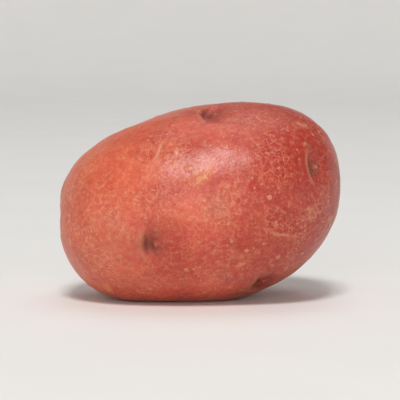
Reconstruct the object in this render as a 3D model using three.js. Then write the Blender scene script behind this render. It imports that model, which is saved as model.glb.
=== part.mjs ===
// A potato: one whole red-skinned tuber, lying on the flattest part of its side.
//
// Millimetres, +Z up. +X runs from the heel end, where the tuber broke off its stolon, to the
// rose end, where its eyes crowd together. The origin is under the middle of the tuber, level
// with the flat spot that it rests on.

import * as THREE from 'three';
import { mergeVertices } from 'three/addons/utils/BufferGeometryUtils.js';

// ---- Overall size, before the swells below ----

const LENGTH = 83; // heel end to rose end, along the tuber's own axis
const WIDTH = 65; // front to back
const THICKNESS = 58; // underside to top, before the resting spot is flattened

// ---- Pose and general shape ----

const LEAN = 5; // degrees by which the rose end lies higher than the heel end
const BEND = 2; // how far both ends are bent towards the front
const TAPER = 0.05; // share by which the rose end is wider than the middle
const END_FULLNESS = 2.18; // 2 gives round ends as on an egg, more gives blunter ones
const GIRTH_FULLNESS = 2.06; // the same for the section across the tuber

// ---- Resting spot ----

const SPOT_DEPTH = 2; // how far the underside is flattened
const SPOT_EDGE = 0.7; // height over which the skin curves away from the flat

// ---- Swells: broad bulges, and hollows where the height is negative ----
// A place on the tuber is its angle from the heel end, from 0 to 180 degrees, and its angle
// around the axis: 0 in front, 90 on top, 180 at the back and 270 underneath.

const SWELLS = [
  { what: 'shoulder over the rose end', fromHeel: 138, around: 84, height: 4.4, reach: 17 },
  { what: 'jowl under the heel end', fromHeel: 48, around: 278, height: 3.4, reach: 18 },
  { what: 'belly underneath', fromHeel: 100, around: 268, height: 1.1, reach: 15 },
  { what: 'slope above the heel end', fromHeel: 58, around: 94, height: -2.4, reach: 21 },
  { what: 'undercut below the rose end', fromHeel: 146, around: 268, height: -1, reach: 14 },
  { what: 'broad cheek in front', fromHeel: 64, around: 15, height: 1.3, reach: 17 },
  { what: 'saddle in front', fromHeel: 106, around: 330, height: -1.1, reach: 14 },
  { what: 'knuckle on the back', fromHeel: 122, around: 172, height: 2, reach: 16 },
  { what: 'long dip on the back', fromHeel: 74, around: 204, height: -1.5, reach: 18 },
  { what: 'cheek behind the heel', fromHeel: 36, around: 160, height: 1.4, reach: 15 },
];

// ---- Eyes: dimples on a spiral from the heel end to the rose end, three turns to eight eyes ----
// A dimple's width and length are taken where it has about a third of its full depth.

const EYE_COUNT = 10;
const FIRST_EYE_FROM_HEEL = 42; // degrees
const EYE_STEP = 14; // degrees towards the rose end from one eye to the next
const FIRST_EYE_AROUND = 250; // degrees
const EYE_TURN = -135; // degrees around the tuber from one eye to the next
const EYE_WIDTH = 12; // across the tuber
const EYE_LENGTH = 8; // along the tuber
const EYE_DEPTH = 1.1;

// ---- Heel scar: the dimple that the stolon left ----

const SCAR_WIDTH = 9;
const SCAR_DEPTH = 1.6;

// ---- Fineness ----

const ROWS_PER_FACE = 15; // the skin has 20 * (ROWS_PER_FACE + 1)^2 triangles

const NUDGE = 0.5; // degrees, for finding which way the skin runs at a place

// The unit vector for a place on the tuber, given by its two angles in degrees.
function towards(fromHeel, around) {
  const polar = THREE.MathUtils.degToRad(fromHeel);
  const turn = THREE.MathUtils.degToRad(around);
  const out = Math.sin(polar);
  return new THREE.Vector3(-Math.cos(polar), -Math.cos(turn) * out, Math.sin(turn) * out);
}

// The plain body, with no swells or eyes: full-bodied, wider at one end and bent a little.
function plainBody(unit) {
  const girth = Math.abs(unit.y) ** GIRTH_FULLNESS + Math.abs(unit.z) ** GIRTH_FULLNESS;
  const sum = Math.abs(unit.x) ** END_FULLNESS + girth ** (END_FULLNESS / GIRTH_FULLNESS);
  const fullness = sum ** (-1 / END_FULLNESS);
  const along = unit.x * fullness;
  const across = unit.y * fullness * (1 + TAPER * along);
  const upward = unit.z * fullness;
  return new THREE.Vector3(
    along * LENGTH / 2,
    across * WIDTH / 2 - BEND * along ** 2,
    upward * THICKNESS / 2,
  );
}

const swells = SWELLS.map(({ fromHeel, around, height, reach }) => {
  const centre = plainBody(towards(fromHeel, around));
  return { centre, height, reach };
});

// The body with its swells, which push the skin straight out from the middle of the tuber.
function swollenBody(unit) {
  const point = plainBody(unit);
  const outward = point.clone().normalize();
  let rise = 0;
  for (const { centre, height, reach } of swells) {
    rise += height * Math.exp(-((point.distanceTo(centre) / reach) ** 2));
  }
  return point.addScaledVector(outward, rise);
}

// An oval dimple at a place, with the directions along and across the tuber there.
function dimple(fromHeel, around, length, width, depth) {
  const centre = swollenBody(towards(fromHeel, around));
  const along = swollenBody(towards(fromHeel + NUDGE, around)).sub(centre).normalize();
  const across = centre.clone().normalize().cross(along).normalize();
  return { centre, along, across, length, width, depth };
}

const dimples = [];
for (let i = 0; i < EYE_COUNT; i += 1) {
  const fromHeel = FIRST_EYE_FROM_HEEL + i * EYE_STEP;
  const around = FIRST_EYE_AROUND + i * EYE_TURN;
  dimples.push(dimple(fromHeel, around, EYE_LENGTH, EYE_WIDTH, EYE_DEPTH));
}
dimples.push(dimple(0, 0, SCAR_WIDTH, SCAR_WIDTH, SCAR_DEPTH));

// The finished skin, still lying level and round underneath.
function skin(unit) {
  const point = swollenBody(unit);
  const outward = point.clone().normalize();
  let sink = 0;
  for (const { centre, along, across, length, width, depth } of dimples) {
    const offset = point.clone().sub(centre);
    const spread = (offset.dot(along) / length) ** 2 + (offset.dot(across) / width) ** 2;
    const near = offset.length() < 2 * width;
    if (near) sink += depth * Math.exp(-4 * spread);
  }
  return point.addScaledVector(outward, -sink);
}

// Heights near the ground are pressed flat, with a soft edge to the flat spot.
function settle(height) {
  if (height <= -SPOT_EDGE) return 0;
  if (height >= SPOT_EDGE) return height;
  return (height + SPOT_EDGE) ** 2 / (4 * SPOT_EDGE);
}

function tuberGeometry() {
  const sphere = new THREE.IcosahedronGeometry(1, ROWS_PER_FACE);
  sphere.deleteAttribute('normal');
  sphere.deleteAttribute('uv');
  const geometry = mergeVertices(sphere);
  const places = geometry.attributes.position;
  const unit = new THREE.Vector3();
  for (let i = 0; i < places.count; i += 1) {
    unit.fromBufferAttribute(places, i).normalize();
    const { x, y, z } = skin(unit);
    places.setXYZ(i, x, y, z);
  }
  geometry.rotateY(-THREE.MathUtils.degToRad(LEAN));
  geometry.computeBoundingBox();
  const ground = geometry.boundingBox.min.z + SPOT_DEPTH;
  for (let i = 0; i < places.count; i += 1) {
    places.setZ(i, settle(places.getZ(i) - ground));
  }
  geometry.computeBoundingBox();
  const middle = geometry.boundingBox.getCenter(new THREE.Vector3());
  geometry.translate(-middle.x, -middle.y, 0);
  geometry.computeVertexNormals();
  return geometry;
}

const skinMaterial = new THREE.MeshStandardMaterial({
  name: 'red potato skin',
  color: 0xc06a50,
  roughness: 0.6,
  metalness: 0,
});

const tuber = new THREE.Mesh(tuberGeometry(), skinMaterial);
tuber.name = 'potato';

const potato = new THREE.Group();
potato.name = 'whole_potato';
potato.add(tuber);

export default potato;
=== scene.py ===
"""A red-skinned potato lying on a pale table: its skin, eyes and scars, the light and the camera."""

import math

import bpy
import numpy as np
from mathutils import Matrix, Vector, noise
from mathutils.bvhtree import BVHTree


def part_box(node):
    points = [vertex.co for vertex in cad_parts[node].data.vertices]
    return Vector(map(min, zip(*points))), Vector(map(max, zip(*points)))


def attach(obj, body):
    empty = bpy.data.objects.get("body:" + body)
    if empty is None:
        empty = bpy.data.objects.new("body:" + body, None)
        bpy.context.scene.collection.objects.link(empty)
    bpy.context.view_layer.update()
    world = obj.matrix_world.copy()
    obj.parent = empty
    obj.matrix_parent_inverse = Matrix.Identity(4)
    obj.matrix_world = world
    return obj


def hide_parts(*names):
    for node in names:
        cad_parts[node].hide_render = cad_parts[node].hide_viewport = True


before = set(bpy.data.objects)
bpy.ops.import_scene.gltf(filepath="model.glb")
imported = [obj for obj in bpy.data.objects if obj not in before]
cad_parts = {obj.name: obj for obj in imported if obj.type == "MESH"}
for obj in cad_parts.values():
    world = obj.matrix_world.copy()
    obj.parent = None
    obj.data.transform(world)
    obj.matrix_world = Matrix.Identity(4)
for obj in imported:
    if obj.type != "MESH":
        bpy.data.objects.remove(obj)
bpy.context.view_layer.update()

MM = 0.001  # the skin is shaped in millimetres and made in metres

# ---- The tuber, as its solid has it. A place on it is its angle from the heel end, from 0 to
# 180 degrees, and its angle round it: 0 in front, 90 on top, 180 at the back, 270 underneath. ----

LEAN = 5  # degrees by which the rose end lies higher than the heel end
EYE_COUNT = 10
FIRST_EYE_FROM_HEEL = 42
EYE_STEP = 14
FIRST_EYE_AROUND = 250
EYE_TURN = -135

# ---- The fine skin, in millimetres ----

ROWS = 128  # faces along each side of the six patches that close round the tuber
EASING = 40  # rounds of smoothing that take out the solid's flat faces
PATCH_MARGIN = 0.015  # left clear round each patch when it is laid flat, as a share of its side
SEED = 11
# The hollow and crease marks also carry painted shade, which darkens the eyes and the heel scar.
MARKS = ("flush", "hollow", "crease", "bud", "cork", "pore", "graze")  # what a place can wear
WAVES = ((13, 0.30), (5.5, 0.15), (1.9, 0.05))  # the size of a wave and how far it rises
EYE_WIDTH = 12.5  # across an eye at the tuber's waist
FULL_EYE_WIDTH = 12  # the heights in an eye are for one this wide, and lower in a narrower one
FINEST_REACH = 0.5  # the least reach of an eye's lid and crease, which the mesh can still carry
SCAR_PLACE = (4, 40)  # from the heel, around
SCAR_RIM = 2.6  # radius of the heel scar's rim
SCAR_PIT = 1.9
SCAR_MOAT = 1.4  # radius of the groove between the pit's wall and the stub
SCAR_STUB = 0.95
SCAR_PUCKERS = 9
DENT_COUNT = 16
PORE_COUNT = 150
SCRATCHES = (  # from the heel, around, turn, length, width
    (76, 38, 62, 9, 0.45),
    (121, 338, 148, 6, 0.4),
    (60, 190, 20, 12, 0.5),
    (128, 205, 110, 7, 0.45),
    (95, 120, 80, 8, 0.4),
)
GRAZES = (  # from the heel, around, size
    (52, 300, 3.4),
    (133, 60, 3),
    (104, 322, 2.4),
    (64, 120, 4),
    (112, 190, 4),
    (30, 20, 2.4),
    (150, 330, 2.6),
)

# ---- Table, lights and camera, in metres ----

TABLE_RADIUS = 1.6  # of its flat middle
TABLE_RINGS = (0.4, 1.0)  # radii of the rings within it
TABLE_RIM = 0.9  # radius of the curve in which its rim rises
TABLE_RIM_STEPS = 12
TABLE_SIDES = 96
LIGHTS = (  # name, place from the middle of the potato, side of the softbox, watts
    ("key_light", (-0.1, -2.0, 3.0), 0.8, 80),
    ("fill_light", (-0.2, -2.0, 0.7), 0.8, 7.5),  # further out, the table's rim would stand in its way
    ("top_light", (0.3, 1.2, 3.6), 2.6, 28),
)
LIGHT_TINT = (1.0, 0.985, 0.965)
ROOM_STRENGTH = 0.18
LENS = 180  # millimetres
SHARE_OF_VIEW = 0.7  # how much of the view's width the potato takes
CAMERA_ELEVATION = 5  # degrees
CAMERA_REACH = 20  # how far the camera sees


def towards(from_heel, around):
    """The unit vector, in the tuber's own level frame, of a place given by its two angles."""
    polar = math.radians(from_heel)
    turn = math.radians(around)
    out = math.sin(polar)
    return np.array([-math.cos(polar), -math.cos(turn) * out, math.sin(turn) * out])


def lean(vectors):
    """Tips vectors from the tuber's own level frame to the way it lies."""
    tip = math.radians(LEAN)
    x, y, z = vectors.T
    return np.stack([x * math.cos(tip) - z * math.sin(tip), y, x * math.sin(tip) + z * math.cos(tip)], 1)


def patched_ball(rows):
    """Six square patches closed round a ball.

    Gives its unit vectors, its faces, and where each corner of a face lies once the patches are laid flat.
    """
    steps = np.tan(np.linspace(-1, 1, rows + 1) * math.pi / 4)
    right, up = np.meshgrid(steps, steps, indexing="ij")
    column, row = np.meshgrid(np.arange(rows + 1), np.arange(rows + 1), indexing="ij")
    units, corners, layout = [], [], []
    for patch in range(6):
        out = np.zeros(3)
        out[patch % 3] = 1 if patch < 3 else -1
        side = np.roll(np.abs(out), 1)
        other = np.cross(out, side)
        ball = out + right[..., None] * side + up[..., None] * other
        units.append((ball / np.linalg.norm(ball, axis=2, keepdims=True)).reshape(-1, 3))
        number = (column * (rows + 1) + row) + patch * (rows + 1) ** 2
        square = np.stack([number[:-1, :-1], number[1:, :-1], number[1:, 1:], number[:-1, 1:]], 2)
        corners.append(square.reshape(-1, 4))
        flat = np.stack([column, row], 2).reshape(-1, 2) / rows
        flat = PATCH_MARGIN + (1 - 2 * PATCH_MARGIN) * flat
        layout.append((flat + (patch % 3, patch // 3)) / (3, 2))
    units, corners, layout = np.concatenate(units), np.concatenate(corners), np.concatenate(layout)
    keys = np.round(units, 6) + 0.0  # which makes -0 and 0 one key
    first, same = np.unique(keys, axis=0, return_index=True, return_inverse=True)[1:]
    return units[first], same.ravel()[corners], layout[corners]


class Skin:
    """The skin while it is shaped: places in millimetres, and marks from 0 to 1 for what each wears."""

    def __init__(self, units, faces, places):
        self.units = units
        self.faces = faces
        self.places = places
        self.marks = {name: np.zeros(len(places)) for name in MARKS}
        # A place has four neighbours, or three where three patches meet, and there the last counts twice.
        start, end = faces.ravel(), np.roll(faces, -1, axis=1).ravel()
        order = np.argsort(start, kind="stable")
        start, end = start[order], end[order]
        count = np.bincount(start)
        first = np.cumsum(count) - count
        self.neighbours = end[first[:, None] + np.minimum(np.arange(4), count[:, None] - 1)]

    def ease(self, values, rounds):
        """Averages values with their neighbours'."""
        for _ in range(rounds):
            values = values[self.neighbours].mean(axis=1)
        return values

    def normals(self):
        """The outward direction at each place."""
        a, b, c, d = (self.places[self.faces[:, k]] for k in range(4))
        facing = np.cross(c - a, d - b)
        total = [np.bincount(self.faces.ravel(), np.repeat(facing[:, k], 4)) for k in range(3)]
        total = np.stack(total, 1)
        return total / np.linalg.norm(total, axis=1, keepdims=True)

    def push(self, rise):
        """Moves the skin out by rise, in millimetres."""
        self.places = self.places + self.normals() * rise[:, None]

    def mark(self, name, amount):
        """Makes the skin wear this much of a mark, where it doesn't wear more already."""
        self.marks[name] = np.maximum(self.marks[name], np.clip(amount, 0, 1))

    def chart(self, from_heel, around, turn=0):
        """How far each place lies from this one: towards the rose end, across the tuber, and straight."""
        middle = int(np.argmax(self.units @ towards(from_heel, around)))
        outward = self.normals()[middle]
        forward = lean(np.array([[1.0, 0.0, 0.0]]))[0]
        forward = forward - outward * (forward @ outward)
        forward /= np.linalg.norm(forward)
        sideways = np.cross(outward, forward)
        turn = math.radians(turn)
        along = forward * math.cos(turn) + sideways * math.sin(turn)
        across = np.cross(outward, along)
        offset = self.places - self.places[middle]
        return offset @ along, offset @ across, np.linalg.norm(offset, axis=1)

    def ripple(self, size, seed):
        """Smooth noise about -1 to 1 with lumps of this size, in millimetres. Each seed has its own."""
        shift = Vector((seed * 7.1, seed * 3.7, seed * 5.3))
        return np.array([noise.noise(Vector(place) / size + shift) for place in self.places])


def bell(distance, reach):
    """1 at no distance, about a third at reach, and next to nothing at twice that."""
    return np.exp(-((distance / reach) ** 2))


def wrapped_skin(solid, lo, hi):
    """A fine skin drawn over the solid from its heart outwards, with the solid's flat faces eased away."""
    units, faces, layout = patched_ball(ROWS)
    half = np.array(hi - lo) / 2
    heart = (lo + hi) / 2
    rays = lean(units * half)
    tree = BVHTree.FromObject(solid, bpy.context.evaluated_depsgraph_get())
    places = np.array([tree.ray_cast(heart, Vector(ray))[0] for ray in rays]) / MM
    skin = Skin(units, faces, places)
    skin.places = skin.ease(skin.places, EASING)
    return skin, layout


def undulate(skin):
    """The skin's slow waves and its finer orange-peel."""
    rise = 0
    for seed, (size, amount) in enumerate(WAVES, 1):
        rise = rise + amount * skin.ripple(size, seed)
    skin.push(rise)


def cut_eye(skin, from_heel, around, width, chance):
    """One eye: a hollow with its buds and, on the heel's side, a brow that arches over a crease.

    Places in it are shares of its width.
    """
    along, across, far = skin.chart(from_heel, around, chance.uniform(-16, 16))
    near = far < 1.8 * width
    arch = chance.uniform(0.4, 0.7)
    waver = 0.02 * width * np.sin(across / (0.16 * width) + chance.uniform(0, 6))
    past = along + 0.24 * width - arch * across**2 / width + waver  # how far past the brow's line
    ends = np.exp(-((across / (0.5 * width)) ** 4)) * near
    middle = ends * bell(across, 0.34 * width)
    fine = max(0.05 * width, FINEST_REACH)
    lid = ends * np.where(past < 0, bell(past, 0.22 * width), bell(past, fine))
    crease = middle * bell(past - 1.5 * fine, fine)
    fold = middle * bell(past - 4 * fine, 0.7 * fine)
    hollow = near * bell(past - 0.24 * width, 0.27 * width) * bell(across, 0.45 * width)
    heart = np.hypot(past - 0.33 * width, 0.75 * across)
    bud = near * bell(heart, 1.5 * fine)
    for side in (-1, 1):
        reach = chance.uniform(0.17, 0.23) * width
        size = chance.uniform(0.4, 0.65)
        bud = bud + size * near * bell(np.hypot(past - 0.28 * width, across - side * reach), fine)
    angle = np.arctan2(across, past - 0.33 * width)
    scale = near * bell(heart - 2.5 * fine, 1.3 * fine) * (0.65 + 0.35 * np.cos(3 * angle + 2))
    depth = chance.uniform(1.1, 1.5)
    rise = 0.5 * lid - 0.45 * crease - 0.15 * fold - 0.15 * scale - depth * hollow + 0.85 * bud
    skin.push(rise * width / FULL_EYE_WIDTH)
    skin.mark("flush", bell(far, 0.8 * width))
    # The hollow and crease marks darken the skin here: partly the eye's own deeper colour, partly painted
    # shade in the hollow and the crease.
    skin.mark("hollow", 1.1 * hollow)
    skin.mark("crease", 0.95 * crease + 0.3 * fold + 0.5 * scale)
    skin.mark("bud", bud)
    skin.mark("cork", 0.85 * ends * bell(past + fine, fine))


def cut_eyes(skin, chance):
    """All the eyes, on their spiral. They are widest at the tuber's waist and smallest by the rose end."""
    for i in range(EYE_COUNT):
        from_heel = FIRST_EYE_FROM_HEEL + i * EYE_STEP
        around = FIRST_EYE_AROUND + i * EYE_TURN
        width = EYE_WIDTH * math.sin(math.radians(from_heel)) ** 0.6 * chance.uniform(0.9, 1.1)
        cut_eye(skin, from_heel, around, width, chance)


def scar_heel(skin):
    """The pit at the heel end where the stolon broke off, with its raised rim and dry stub."""
    along, across, far = skin.chart(*SCAR_PLACE)
    angle = np.arctan2(across, along)
    far = far * (1 + 0.08 * np.cos(3 * angle) + 0.05 * np.cos(5 * angle + 1))
    puckers = bell(far - 4.4, 2.2) * np.cos(SCAR_PUCKERS * angle + 1.3 * np.cos(angle))
    rim = bell(far - SCAR_RIM, 0.8)
    pit = bell(far, SCAR_PIT)
    moat = bell(far - SCAR_MOAT, 0.55) * (0.75 + 0.25 * np.cos(2 * angle + 1))
    stub = bell(far, SCAR_STUB)
    skin.push(0.34 * rim - 1.3 * pit - 0.25 * moat + 1.15 * stub + 0.16 * puckers)
    # The hollow and crease marks darken the pit and the moat: painted shade in them.
    skin.mark("hollow", 0.7 * pit)
    skin.mark("cork", 0.6 * rim + stub)
    skin.mark("crease", 0.85 * moat)


def press_dents(skin, chance):
    """Shallow flats and dents from the stones and tubers it lay against."""
    for _ in range(DENT_COUNT):
        from_heel = math.degrees(math.acos(chance.uniform(-0.95, 0.95)))
        around = chance.uniform(0, 360)
        size = chance.uniform(2.5, 6.5)
        along, across, _ = skin.chart(from_heel, around, chance.uniform(0, 180))
        dent = bell(along, size) * bell(across, 0.7 * size)
        skin.push(-chance.uniform(0.12, 0.3) * dent)


def scratch_skin(skin):
    """The few scratches that lifting and sorting left: thin corky lines, healed, with a little bend."""
    for from_heel, around, turn, length, width in SCRATCHES:
        along, across, far = skin.chart(from_heel, around, turn)
        line = across - 0.06 * along**2 / length - 0.35 * np.sin(2.1 * along / width / 6)
        trace = np.exp(-((along / (0.5 * length)) ** 6)) * bell(line, width) * (far < length)
        skin.push(-0.16 * trace)
        skin.mark("cork", 0.9 * trace)


def graze_skin(skin, chance):
    """Places where the thin red skin was rubbed off."""
    for from_heel, around, size in GRAZES:
        along, across, _ = skin.chart(from_heel, around, chance.uniform(0, 180))
        skin.mark("graze", bell(along, size) * bell(across, 0.5 * size))


def raise_pores(skin, chance):
    """The larger pores in the skin: corky dots that stand a little proud."""
    outward = skin.normals()
    rise = np.zeros(len(skin.places))
    for _ in range(PORE_COUNT):
        unit = chance.normal(size=3)
        middle = int(np.argmax(skin.units @ (unit / np.linalg.norm(unit))))
        radius = chance.uniform(0.45, 0.85)
        dot = bell(np.linalg.norm(skin.places - skin.places[middle], axis=1), radius)
        rise = np.maximum(rise, 0.22 * radius * dot)
        skin.mark("pore", chance.uniform(0.7, 1.0) * dot)
    skin.places = skin.places + outward * rise[:, None]


def settle(skin):
    """Presses flat what would reach below the table, as the solid is flat there."""
    skin.places[:, 2] = np.maximum(skin.places[:, 2], 0)


def tuber_mesh(skin, layout):
    """The finished skin as a mesh in metres, with its marks and a flat layout of its six patches."""
    mesh = bpy.data.meshes.new("tuber")
    mesh.from_pydata((skin.places * MM).tolist(), [], skin.faces.tolist())
    mesh.shade_smooth()
    for name, amount in skin.marks.items():
        mark = mesh.attributes.new(name=name, type="FLOAT", domain="POINT")
        mark.data.foreach_set("value", amount.astype(np.float32))
    flat = mesh.uv_layers.new(name="OFBake")
    flat.uv.foreach_set("vector", layout.reshape(-1).astype(np.float32))
    return mesh


def make_tuber():
    """The potato: one whole tuber in its skin."""
    lo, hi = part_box("potato")
    skin, layout = wrapped_skin(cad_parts["potato"], lo, hi)
    chance = np.random.default_rng(SEED)
    undulate(skin)
    press_dents(skin, chance)
    cut_eyes(skin, chance)
    scar_heel(skin)
    scratch_skin(skin)
    graze_skin(skin, chance)
    raise_pores(skin, chance)
    settle(skin)
    tuber = bpy.data.objects.new("tuber", tuber_mesh(skin, layout))
    bpy.context.scene.collection.objects.link(tuber)
    return tuber


# ---- Finishes ----


class Wire:
    """A node's output. Arithmetic on it adds the Math nodes that work it out."""

    def __init__(self, finish, source, output):
        self.finish = finish
        self.source = source
        self.output = output

    def maths(self, operation, *values):
        """A Math node's output for these values."""
        return self.finish.node("ShaderNodeMath", {"operation": operation}, dict(enumerate(values)))

    def __add__(self, other):
        return self.maths("ADD", self, other)

    __radd__ = __add__

    def __sub__(self, other):
        return self.maths("SUBTRACT", self, other)

    def __rsub__(self, other):
        return self.maths("SUBTRACT", other, self)

    def __mul__(self, other):
        return self.maths("MULTIPLY", self, other)

    __rmul__ = __mul__


class Finish:
    """A material while its nodes are added."""

    def __init__(self, name):
        self.material = bpy.data.materials.new(name)
        self.material.use_nodes = True
        self.tree = self.material.node_tree
        self.tree.nodes.clear()
        spot = self.node("ShaderNodeTexCoord", output="Object")
        self.place = self.node("ShaderNodeVectorMath", {"operation": "SCALE"}, {0: spot, "Scale": 1 / MM})

    def node(self, kind, settings=None, values=None, output=0):
        """Adds a node, with its settings first and then what feeds its sockets, and gives its output."""
        made = self.tree.nodes.new(kind)
        for name, setting in (settings or {}).items():
            setattr(made, name, setting)
        for name, value in (values or {}).items():
            if isinstance(value, Wire):
                self.tree.links.new(value.source.outputs[value.output], made.inputs[name])
            else:
                made.inputs[name].default_value = value
        return Wire(self, made, output)

    def axis(self, name):
        """How far along X, Y or Z a place lies, in millimetres."""
        return self.node("ShaderNodeSeparateXYZ", {}, {0: self.place}, name)

    def clouds(self, size, detail=2.0, roughness=0.5, place=None, output="Fac"):
        """Soft noise from 0 to 1 with lumps of this size, in millimetres."""
        values = {"Vector": place or self.place, "Scale": 1 / size, "Detail": detail, "Roughness": roughness}
        return self.node("ShaderNodeTexNoise", {}, values, output)

    def strayed(self, size, amount):
        """Places pushed about by up to this amount, in millimetres, so that what is drawn on them wavers."""
        stray = self.clouds(size, output="Color")
        stray = self.node("ShaderNodeVectorMath", {"operation": "SUBTRACT"}, {0: stray, 1: (0.5, 0.5, 0.5)})
        stray = self.node("ShaderNodeVectorMath", {"operation": "SCALE"}, {0: stray, "Scale": 2 * amount})
        return self.node("ShaderNodeVectorMath", {"operation": "ADD"}, {0: self.place, 1: stray})

    def cells(self, size, feature, place=None):
        """Irregular cells of this size, in millimetres.

        Gives how far a place lies from its cell's middle or edge, as a share of the size.
        """
        values = {"Vector": place or self.place, "Scale": 1 / size}
        return self.node("ShaderNodeTexVoronoi", {"feature": feature}, values, "Distance")

    def ramp(self, value, low, high):
        """0 up to low, 1 from high, and smooth between. With low above high it falls instead."""
        values = {"Value": value, "From Min": low, "From Max": high}
        return self.node("ShaderNodeMapRange", {"interpolation_type": "SMOOTHSTEP"}, values)

    def blend(self, mask, below, above):
        """The colour below, covered by the one above where the mask is 1."""
        return self.node("ShaderNodeMix", {"data_type": "RGBA"}, {0: mask, 6: below, 7: above}, 2)

    def mark(self, name):
        """How much of a mark the skin wears here, from 0 to 1."""
        return self.node("ShaderNodeAttribute", {"attribute_name": name}, output="Fac")

    def close(self, surface):
        """Ends the material in a surface with these values."""
        shader = self.node("ShaderNodeBsdfPrincipled", {}, surface)
        self.node("ShaderNodeOutputMaterial", {}, {"Surface": shader})
        return self.material


def shade(red, green, blue):
    """A colour as a paint chart gives it, from 0 to 255, in the linear form that a shader takes."""
    parts = [value / 255 for value in (red, green, blue)]
    parts = [part / 12.92 if part <= 0.04045 else ((part + 0.055) / 1.055) ** 2.4 for part in parts]
    return (*parts, 1.0)


BRICK = shade(174, 45, 33)
ROSE = shade(212, 88, 68)
WINE = shade(146, 34, 34)
CLAY = shade(198, 92, 60)
TAN = shade(220, 126, 80)
BUFF = shade(238, 170, 126)
FLESH = shade(226, 160, 116)
CORK = shade(212, 150, 108)
UMBER = shade(88, 38, 28)
SCURF = shade(190, 124, 98)
EARTH = shade(112, 66, 42)


def clouded_red(skin, drift):
    """Brick and rose in clouds, redder and darker towards the rose end and more tan by the heel, with dull
    scurf. The darker wine towards the rose end is partly the skin's own red and partly painted shade.
    """
    side = skin.axis("X")
    broad = skin.clouds(17, 3, 0.55)
    rose_end = skin.ramp(side + 30 * (broad - 0.5), -6, 36)
    heel = skin.ramp(side + 26 * (broad - 0.5), 6, -40)
    colour = skin.blend(skin.ramp(broad, 0.3, 0.68) * (1 - rose_end * 0.8), BRICK, ROSE)
    thin = skin.ramp(skin.clouds(7.5, 4, 0.6, drift), 0.42, 0.75)
    colour = skin.blend(heel * 0.55, colour, CLAY)
    colour = skin.blend(thin * 0.3 * (1 - rose_end * 0.7), colour, TAN)
    deep = skin.ramp(skin.clouds(11, 3, 0.6, skin.strayed(14, 3)), 0.5, 0.74)
    # The wine towards the rose end is partly painted shade: it darkens that whole end of the tuber.
    colour = skin.blend((deep * 0.35 + rose_end * 0.48) * (1 - heel), colour, WINE)
    scurf = skin.ramp(skin.clouds(19, 2, 0.5, drift) + skin.clouds(1.1, 3, 0.7) * 0.3, 0.74, 0.86)
    colour = skin.blend(scurf * 0.35, colour, SCURF)
    return colour, broad, heel, scurf


def mottled(skin, colour):
    """Fine pale and dark mottling, and pale flecks."""
    mottle = skin.clouds(1.6, 4, 0.7)
    colour = skin.blend(skin.ramp(mottle, 0.45, 0.7) * 0.22, colour, BUFF)
    colour = skin.blend(skin.ramp(mottle, 0.48, 0.28) * 0.3, colour, WINE)
    fleck = skin.clouds(0.45, 2, 0.6)
    colour = skin.blend(skin.ramp(fleck, 0.58, 0.7) * 0.28, colour, BUFF)
    return colour, mottle, fleck


def netted(skin, colour, heel, fleck):
    """Corky netting in patches: broken, crumbly lines where the skin once cracked."""
    crumble = (fleck - 0.5) * 0.3
    crack = skin.cells(1.7, "DISTANCE_TO_EDGE", skin.strayed(1.3, 0.2)) + crumble
    where = skin.ramp(skin.clouds(10, 3, 0.6) + heel * 0.08, 0.44, 0.62)
    broken = skin.ramp(skin.clouds(1.1, 3, 0.6), 0.36, 0.62)
    netting = skin.ramp(crack, 0.13, 0.0) * (where * 0.85 + 0.15) * broken
    return skin.blend(netting * 0.38, colour, BUFF), netting


def dotted(skin, colour):
    """Small pores, each with a darker pin in its middle."""
    from_middle = skin.cells(2.3, "F1")
    dot = skin.ramp(from_middle, 0.17, 0.1)
    pin = skin.ramp(from_middle, 0.06, 0.02)
    colour = skin.blend(dot * 0.5, colour, CORK)
    return skin.blend(pin * 0.45, colour, UMBER), dot, pin


def corked(skin, colour, frayed):
    """The larger pores with their dark middles, and the cork on brows, scratches and the heel's scar."""
    pore = skin.mark("pore") + frayed * 0.35
    cork = skin.mark("cork")
    colour = skin.blend(skin.ramp(pore, 0.25, 0.6) * 0.6, colour, CORK)
    colour = skin.blend(skin.ramp(pore, 0.8, 0.97) * 0.5, colour, UMBER)
    return skin.blend(cork * 0.75, colour, CORK), cork


def grazed(skin, colour):
    """Ragged grazes where the thin skin is gone and the flesh shows through."""
    scuff = skin.mark("graze")
    graze = skin.ramp(scuff + (skin.clouds(0.8, 4, 0.75) - 0.5) * 2.4, 0.6, 0.9)
    colour = skin.blend(skin.ramp(scuff, 0.15, 0.8) * 0.3, colour, TAN)
    return skin.blend(graze * 0.4, colour, FLESH), graze


def eyed(skin, colour, hollow, crease, frayed):
    """The eyes: a wine flush round each, a darker hollow, a brown crease and pale buds. The darker hollow
    and the brown crease are partly the eye's own colour and partly painted shade.
    """
    bud = skin.mark("bud")
    colour = skin.blend(skin.mark("flush") * 0.35, colour, WINE)
    # Partly painted shade: the hollow is darkened with wine, and the crease, which also takes the heel
    # scar's moat, with umber.
    colour = skin.blend(hollow * 0.45, colour, WINE)
    colour = skin.blend(skin.ramp(crease + hollow * 0.25 + frayed * 0.3, 0.3, 1.15) * 0.8, colour, UMBER)
    return skin.blend(skin.ramp(bud + frayed * 0.25, 0.45, 0.9) * 0.6, colour, TAN)


def soiled(skin, colour, hollow, crease, drift):
    """Soil, dusted over the skin and caught in crumbs, more of it in hollows and low down."""
    low = skin.ramp(skin.axis("Z"), 22, 0)
    soil = skin.clouds(4.5, 5, 0.7, drift)
    dust = skin.ramp(soil + hollow * 0.25 + low * 0.07, 0.58, 0.78)
    crumb = skin.ramp(skin.clouds(0.8, 3, 0.6) + dust * 0.15 + crease * 0.1, 0.7, 0.84)
    colour = skin.blend(dust * 0.3, colour, EARTH)
    return skin.blend(crumb * 0.55, colour, EARTH), dust, crumb


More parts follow.
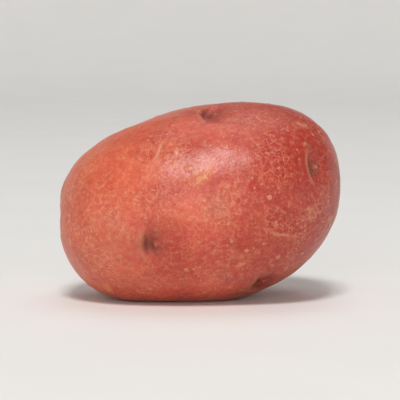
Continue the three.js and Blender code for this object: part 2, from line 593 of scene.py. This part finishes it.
def potato_skin():
    """Red potato skin, from its broad colour up to the soil on it, with a satin sheen and a fine relief."""
    skin = Finish("red_potato_skin")
    drift = skin.strayed(9, 2.5)
    frayed = skin.clouds(0.7, 3, 0.6) - 0.5
    # hollow and crease darken the eyes and the heel scar, partly as painted shade.
    hollow = skin.mark("hollow")
    crease = skin.mark("crease")

    colour, broad, heel, scurf = clouded_red(skin, drift)
    colour, mottle, fleck = mottled(skin, colour)
    colour, netting = netted(skin, colour, heel, fleck)
    colour, dot, pin = dotted(skin, colour)
    colour, cork = corked(skin, colour, frayed)
    colour, graze = grazed(skin, colour)
    colour = eyed(skin, colour, hollow, crease, frayed)
    colour, dust, crumb = soiled(skin, colour, hollow, crease, drift)

    roughness = scurf * 0.15 + 0.34 + (broad - 0.5) * 0.12 + (mottle - 0.5) * 0.25
    roughness = roughness + dust * 0.2 + cork * 0.12 + graze * 0.1

    grain = skin.clouds(0.35, 3, 0.6)
    peel = skin.clouds(0.9, 2, 0.5)
    relief = grain * 0.04 + peel * 0.08 + mottle * 0.08 + netting * 0.05 + dot * 0.06 - pin * 0.06
    relief = relief + cork * 0.03 - graze * 0.05 + crumb * 0.03 + frayed * hollow * 0.15
    bump = skin.node("ShaderNodeBump", {}, {"Strength": 1.0, "Distance": MM, "Height": relief})

    return skin.close({
        "Base Color": colour,
        "Roughness": roughness,
        "Normal": bump,
        "Specular IOR Level": 0.5,
        "Subsurface Weight": 0.05,
        "Subsurface Radius": (1.0, 0.35, 0.2),
        "Subsurface Scale": 1.5 * MM,
    })


def table_paint():
    """Plain off-white matt paint."""
    paint = Finish("pale_table")
    tone = paint.blend(paint.clouds(60, 2, 0.5), shade(236, 235, 233), shade(241, 240, 238))
    return paint.close({"Base Color": tone, "Roughness": 0.7, "Specular IOR Level": 0.25})


# ---- Table, light and camera ----


def make_table():
    """A wide round pale table whose rim curves up all round, so that no edge shows behind the potato."""
    rings = [(radius, 0.0) for radius in (*TABLE_RINGS, TABLE_RADIUS)]
    for i in range(1, TABLE_RIM_STEPS + 1):
        bend = math.radians(90 * i / TABLE_RIM_STEPS)
        rings.append((TABLE_RADIUS + TABLE_RIM * math.sin(bend), TABLE_RIM * (1 - math.cos(bend))))
    places = [(0.0, 0.0, 0.0)]
    for radius, height in rings:
        for k in range(TABLE_SIDES):
            turn = 2 * math.pi * k / TABLE_SIDES
            places.append((radius * math.cos(turn), radius * math.sin(turn), height))
    faces = [(0, 1 + k, 1 + (k + 1) % TABLE_SIDES) for k in range(TABLE_SIDES)]
    for ring in range(len(rings) - 1):
        inner = 1 + ring * TABLE_SIDES
        outer = inner + TABLE_SIDES
        for k in range(TABLE_SIDES):
            after = (k + 1) % TABLE_SIDES
            faces.append((inner + k, outer + k, outer + after, inner + after))
    mesh = bpy.data.meshes.new("table")
    mesh.from_pydata(places, [], faces)
    mesh.shade_smooth()
    table = bpy.data.objects.new("table", mesh)
    table.data.materials.append(table_paint())
    bpy.context.scene.collection.objects.link(table)
    return table


def aimed(maker, place, target):
    """Links a new light or camera at a place, looking at a target."""
    bpy.context.scene.collection.objects.link(maker)
    maker.location = place
    maker.rotation_euler = (Vector(target) - Vector(place)).to_track_quat("-Z", "Y").to_euler()
    return maker


def light_studio(middle):
    """Softboxes high in front, low in front and overhead, in a pale room."""
    for name, place, side, power in LIGHTS:
        lamp = bpy.data.lights.new(name, "AREA")
        lamp.shape = "SQUARE"
        lamp.size = side
        lamp.energy = power
        lamp.color = LIGHT_TINT
        aimed(bpy.data.objects.new(name, lamp), middle + Vector(place), middle)
    room = bpy.data.worlds.new("pale_room")
    room.use_nodes = True
    background = room.node_tree.nodes["Background"]
    background.inputs["Color"].default_value = (1.0, 1.0, 1.0, 1.0)
    background.inputs["Strength"].default_value = ROOM_STRENGTH
    bpy.context.scene.world = room
    bpy.context.scene.view_settings.view_transform = "Standard"


def place_camera(lo, hi):
    """A long lens, nearly level, looking along +Y, with the potato across most of the view."""
    lens = bpy.data.cameras.new("camera")
    lens.lens = LENS
    lens.clip_end = CAMERA_REACH
    distance = (hi.x - lo.x) / SHARE_OF_VIEW * lens.lens / lens.sensor_width
    elevation = math.radians(CAMERA_ELEVATION)
    middle = (lo + hi) / 2
    place = middle + distance * Vector((0, -math.cos(elevation), math.sin(elevation)))
    bpy.context.scene.camera = aimed(bpy.data.objects.new("camera", lens), place, middle)


low_corner, high_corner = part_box("potato")
place_camera(low_corner, high_corner)
light_studio((low_corner + high_corner) / 2)
make_table()

tuber = make_tuber()
tuber.data.materials.append(potato_skin())
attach(tuber, "root")
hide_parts("potato")
